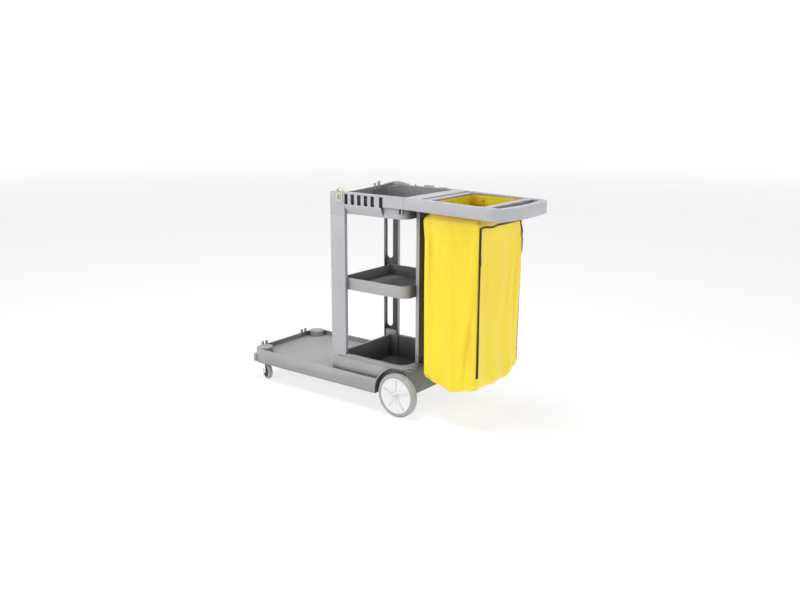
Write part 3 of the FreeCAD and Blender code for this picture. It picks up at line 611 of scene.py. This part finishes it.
def fold(number, t, z):
    """How far a fold pushes the bag's wall outwards."""
    fullness = smoothstep((0.90 - z) / 0.20)
    bottom = smoothstep((0.65 - z) / 0.45)
    inside = smoothstep(t / 0.12) * smoothstep((1 - t) / 0.12)
    if number in (0, 2):
        crest = 0.56 if number == 0 else 0.40
        ridge = max(0, 1 - abs(t - crest) / 0.48)
        gathers = crease(t, z, 26, 2) * smoothstep((z - 0.60) / 0.2) * smoothstep((0.90 - z) / 0.04)
        return MM * ((6 + 12 * bottom) * ridge * fullness
                     + (2.4 * gathers + 3.0 * crease(t, z, 13, 3) * fullness) * inside)
    if number == 1:
        clear = smoothstep((t - 0.12) / 0.15) * smoothstep((1.0 - t) / 0.15)
        return MM * clear * fullness * (3.6 * crease(t, z, 17, 2.5) * (0.4 + bottom)
                                        + 2.6 * math.sin(t * 7.5 + 2.0 + z * 4))
    return 3.0 * MM * crease(t, z, 15, 2) * fullness * inside


def hang(number, t):
    """How far the bag's bottom edge hangs below its corners, or is lifted by the door's far corner."""
    if number in (0, 2):
        belly = max(0, 1 - abs(t - 0.52) / 0.52)
        lift = smoothstep((0.22 - t) / 0.22) if number == 2 else smoothstep((0.10 - t) / 0.10) * 0.5
        return -20 * MM * belly + 24 * MM * lift
    if number == 1:
        return 24 * MM * smoothstep((t - 0.78) / 0.22) - 5 * MM * math.sin(math.pi * min(t, 1))
    return -8 * MM * math.sin(math.pi * min(t, 1)) + 6 * MM


def bag_grid():
    """Rings of points from the mouth down to the middle of the floor."""
    neck_middle = (BAG_HIGH.x - 0.2 * MM + NECK_FRONT) / 2
    body_middle = (BAG_LOW.x + BAG_HIGH.x) / 2
    body_x, body_y = (BAG_HIGH.x - BAG_LOW.x) / 2, (BAG_HIGH.y - BAG_LOW.y) / 2
    neck_x, neck_y = NECK_HALF_X, NECK_HALF_Y
    top, bottom = BAG_HIGH.z - 1 * MM, BAG_LOW.z + 8 * MM
    sections = [(top, neck_x, neck_y, 16, neck_middle), (922 * MM, neck_x, neck_y, 16, neck_middle),
                (912 * MM, neck_x + 1.5 * MM, neck_y + 1.5 * MM, 16, neck_middle - 1 * MM),
                (903 * MM, body_x - 6 * MM, body_y - 6 * MM, 16, body_middle + 3 * MM),
                (889 * MM, body_x - 0.6 * MM, body_y - 0.6 * MM, 13, body_middle),
                (bottom + 25 * MM, body_x - 0.6 * MM, body_y - 0.6 * MM, 13, body_middle),
                (bottom + 12 * MM, body_x - 3 * MM, body_y - 3 * MM, 16, body_middle),
                (bottom + 3 * MM, body_x - 10 * MM, body_y - 10 * MM, 20, body_middle),
                (bottom, body_x - 20 * MM, body_y - 20 * MM, 24, body_middle)]
    rows = []
    for (z0, x0, y0, r0, c0), (z1, x1, y1, r1, c1) in zip(sections, sections[1:]):
        steps = max(1, round((z0 - z1) / (9 * MM)))
        for i in range(steps):
            k = i / steps
            rows.append((z0 + (z1 - z0) * k, x0 + (x1 - x0) * k, y0 + (y1 - y0) * k,
                         (r0 + (r1 - r0) * k) * MM, c0 + (c1 - c0) * k))
    last = sections[-1]
    rows.append((last[0], last[1], last[2], last[3] * MM, last[4]))
    grid = []
    for z, half_x, half_y, corner, centre_x in rows:
        row = []
        for point, out, number, t in ring_of_bag(half_x, half_y, corner, centre_x):
            push = fold(number, t, z)
            drop = hang(number, t) * smoothstep((0.42 - z) / 0.24)
            wander = noise.noise(Vector((point.x * 5, point.y * 5, z * 2.5))) * 2.5 * MM
            push += wander * smoothstep((0.89 - z) / 0.1) * (0.15 if number == 1 and t < 0.12 else 1)
            row.append(Vector((point.x + out.x * push, point.y + out.y * push, z + drop)))
        grid.append(row)
    # The floor of the bag: rings that close towards its middle.
    edge = grid[-1]
    middle = sum(edge, Vector()) / len(edge)
    middle.z = min(point.z for point in edge) + 4 * MM
    for k in (0.85, 0.65, 0.45, 0.25, 0.08):
        grid.append([middle.lerp(point, k) for point in edge])
    return grid


def bag_mesh(grid):
    shape = bmesh.new()
    rings = [[shape.verts.new(point) for point in row] for row in grid]
    count = len(grid[0])
    for upper, lower in zip(rings, rings[1:]):
        for j in range(count):
            shape.faces.new((upper[j], lower[j], lower[(j + 1) % count], upper[(j + 1) % count]))
    shape.faces.new(list(reversed(rings[-1])))
    return shape


def settle(piece, frames, cap):
    """Let the cloth hang for a few frames and keep each point within its cap of where it was drawn.

    A light pressure from inside keeps the walls apart.  The cloth collides with nothing."""
    start = [vertex.co.copy() for vertex in piece.data.vertices]
    pins = piece.vertex_groups.new(name="pins")
    free = []
    for vertex in piece.data.vertices:
        beside_zip = vertex.co.x > BAG_HIGH.x - 20 * MM and vertex.co.y < ZIP_HIGH.y + 15 * MM
        loose = smoothstep((SHOULDER_Z - vertex.co.z) / 0.12) * (0.15 if beside_zip else 1)
        free.append(loose)
        pins.add([vertex.index], 1 if vertex.co.z > SHOULDER_Z else (0.6 if beside_zip else 0), "REPLACE")
    cloth = piece.modifiers.new("hang", "CLOTH")
    cloth.settings.vertex_group_mass = "pins"
    cloth.settings.quality = 5
    cloth.settings.mass = 0.25
    cloth.settings.tension_stiffness = 20
    cloth.settings.compression_stiffness = 12
    cloth.settings.shear_stiffness = 6
    cloth.settings.bending_stiffness = 0.8
    cloth.settings.use_pressure = True
    cloth.settings.uniform_pressure_force = 0.35
    cloth.collision_settings.use_collision = False
    scene = bpy.context.scene
    for number in range(1, frames + 1):
        scene.frame_set(number)
    settled = piece.evaluated_get(bpy.context.evaluated_depsgraph_get())
    moved = [vertex.co.copy() for vertex in settled.data.vertices]
    piece.modifiers.remove(cloth)
    scene.frame_set(1)
    for vertex, before, after, loose in zip(piece.data.vertices, start, moved, free):
        step = after - before
        reach = cap * loose
        if step.length > reach:
            step = step.normalized() * reach
        vertex.co = before + step


def ribbon(shape, tree, guesses, profile, closed=False):
    """Sweep a flat profile of (across, height) along the bag's skin, under a line of guessed points."""
    spots = []
    for guess in guesses:
        place, normal, _, _ = tree.find_nearest(guess)
        if normal.dot(guess - place) < 0:
            normal = -normal
        spots.append((place, normal))
    rows = []
    count = len(spots)
    for i, (place, normal) in enumerate(spots):
        ahead = spots[(i + 1) % count if closed else min(i + 1, count - 1)][0]
        behind = spots[i - 1 if closed or i else 0][0]
        across = (ahead - behind).cross(normal).normalized()
        rows.append([shape.verts.new(place + across * a + normal * h) for a, h in profile])
    size = len(profile)
    pairs = list(zip(rows, rows[1:])) + ([(rows[-1], rows[0])] if closed else [])
    for here, there in pairs:
        for k in range(size):
            shape.faces.new((here[k], here[(k + 1) % size], there[(k + 1) % size], there[k]))
    if not closed:
        shape.faces.new(list(reversed(rows[0])))
        shape.faces.new(rows[-1])
    return spots


def steps_between(start, end, pitch):
    count = max(2, round((Vector(end) - Vector(start)).length / pitch))
    return [Vector(start).lerp(Vector(end), i / count) for i in range(count + 1)]


def bag_trim(tree):
    """The zip's tape and teeth, the binding of the door, and the hem round the mouth."""
    tape_width = 6.5
    tape = [(a * MM, h * MM) for a, h in ((-tape_width, -0.2), (tape_width, -0.2), (tape_width, 0.7),
                                          (1.9, 0.9), (1.6, 1.5), (-1.6, 1.5), (-1.9, 0.9),
                                          (-tape_width, 0.7))]
    face = BAG_HIGH.x + 6 * MM
    zip_y = (ZIP_LOW.y + ZIP_HIGH.y) / 2
    line = steps_between((face, zip_y, ZIP_HIGH.z - 2 * MM), (face, zip_y, ZIP_LOW.z), 5 * MM)
    shape = bmesh.new()
    spots = ribbon(shape, tree, line, tape)
    for (place, normal), (after, _) in zip(spots[1:-1], spots[2:]):
        down = (after - place).normalized()
        across = down.cross(normal)
        for k in (-1, 1):
            block(shape, place + normal * 1.7 * MM + down * k * 1.2 * MM + across * k * 0.5 * MM,
                  (across, down, normal), (1.9 * MM, 0.75 * MM, 0.5 * MM))
    zip_piece = add_piece("zip_tape", shape, "tape", "cart", ["zip_track"])

    # The binding is a folded tape along the top of the door that slants off round the far corner.
    low, high = (Vector(corner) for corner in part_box("flap_binding"))
    path = []
    for i in range(60):
        k = i / 59
        y = ZIP_LOW.y + k * (high.y - 4 * MM - ZIP_LOW.y)
        ripple = 3.0 * MM * math.sin(k * 16) * smoothstep((0.6 - k) / 0.3)
        z = high.z - 4 * MM + ripple - 3 * MM * k * (1 - k)
        path.append(Vector((face, y, z)))
    corner_z = high.z - 150 * MM
    for i in range(1, 40):
        k = i / 39
        path.append(Vector((face, high.y - 4 * MM + k * (BAG_HIGH.y - high.y + 8 * MM),
                            high.z - 4 * MM + k * (corner_z - high.z))))
    path += steps_between((BAG_HIGH.x, BAG_HIGH.y + 8 * MM, corner_z - 4 * MM),
                          (BAG_HIGH.x, BAG_HIGH.y + 8 * MM, low.z), 8 * MM)
    half = 4.2
    fold_tape = [(a * MM, h * MM) for a, h in ((-half, -0.2), (half, -0.2), (half, 1.1), (half - 0.8, 1.7),
                                               (0.6 - half, 1.7), (-half, 1.1))]
    shape = bmesh.new()
    ribbon(shape, tree, path, fold_tape)
    binding = add_piece("door_binding", shape, "tape", "cart", ["flap_binding"])

    # A hem is folded over at the mouth.
    hem = [(a * MM, h * MM) for a, h in ((-5, -1.6), (5, -1.6), (5.4, -0.8), (5, 0.6), (-5, 0.6),
                                         (-5.4, -0.8))]
    ring = ring_of_bag(NECK_HALF_X, NECK_HALF_Y, NECK_CORNER, (BAG_HIGH.x + NECK_FRONT) / 2)
    shape = bmesh.new()
    hem_height = BAG_HIGH.z - 7 * MM
    guesses = [Vector((point.x, point.y, hem_height)) + Vector((out.x, out.y, 0)) * 3 * MM
               for point, out, _, _ in ring]
    ribbon(shape, tree, guesses, hem, closed=True)
    hem_piece = add_piece("mouth_hem", shape, "vinyl", "cart")
    return [zip_piece, binding, hem_piece]


def zip_slider():
    """The slider's body, with its bridge, and the pull that hangs from it."""
    low, high = (Vector(corner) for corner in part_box("zip_slider"))
    centre = (low + high) / 2
    shape = bmesh.new()
    across, out = Vector((0, 1, 0)), Vector((1, 0, 0))
    half = (high - low) / 2
    block(shape, centre - out * 0.4 * MM, (across, UP, out), (half.y, half.z, half.x - 0.4 * MM))
    block(shape, centre + out * (half.x + 0.6 * MM) + UP * 2 * MM, (across, UP, out),
          (1.1 * MM, 4.5 * MM, 1.0 * MM))
    bmesh.ops.bevel(shape, geom=shape.edges[:], offset=0.5 * MM, segments=2, affect="EDGES")
    add_piece("slider_body", shape, "dark_metal", "zip", ["zip_slider"])
    low, high = (Vector(corner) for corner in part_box("zip_pull"))
    shape = bmesh.new()
    outline = []
    width, tall = (high.y - low.y) / 2, high.z - low.z
    for i in range(25):
        k = i / 24
        taper = 0.55 + 0.45 * smoothstep(k * 1.3)
        ends = math.sqrt(max(0, 1 - (2 * k - 1) ** 12))
        outline.append((width * taper * ends, high.z - k * tall))
    rows = []
    for half_width, z in outline:
        rows.append([shape.verts.new((x, centre.y + y, z)) for x, y in
                     ((low.x, -half_width - 0.1 * MM), (high.x, -half_width - 0.1 * MM),
                      (high.x, half_width + 0.1 * MM), (low.x, half_width + 0.1 * MM))])
    for here, there in zip(rows, rows[1:]):
        for k in range(4):
            shape.faces.new((here[k], here[(k + 1) % 4], there[(k + 1) % 4], there[k]))
    shape.faces.new(rows[0])
    shape.faces.new(list(reversed(rows[-1])))
    bmesh.ops.recalc_face_normals(shape, faces=shape.faces)
    add_piece("slider_pull", shape, "dark_metal", "zip", ["zip_pull"])


def make_bag():
    piece = add_piece("bag_shell", bag_mesh(bag_grid()), "vinyl", "cart", ["bag"])
    settle(piece, SETTLE_FRAMES, SETTLE_REACH)
    shape = bmesh.new()
    shape.from_mesh(piece.data)
    tree = BVHTree.FromBMesh(shape)
    shape.free()
    trim = bag_trim(tree)
    wall = piece.modifiers.new("thickness", "SOLIDIFY")
    wall.thickness = SHEET_THICKNESS
    wall.offset = -1
    smooth = piece.modifiers.new("smooth", "SUBSURF")
    smooth.levels = smooth.render_levels = 1


make_camera()
make_studio()
mouldings()
for side_name, side_sign in SIDES.items():
    rear_wheel(side_name, side_sign)
    caster(side_name)
axle_parts()
make_bag()
zip_slider()
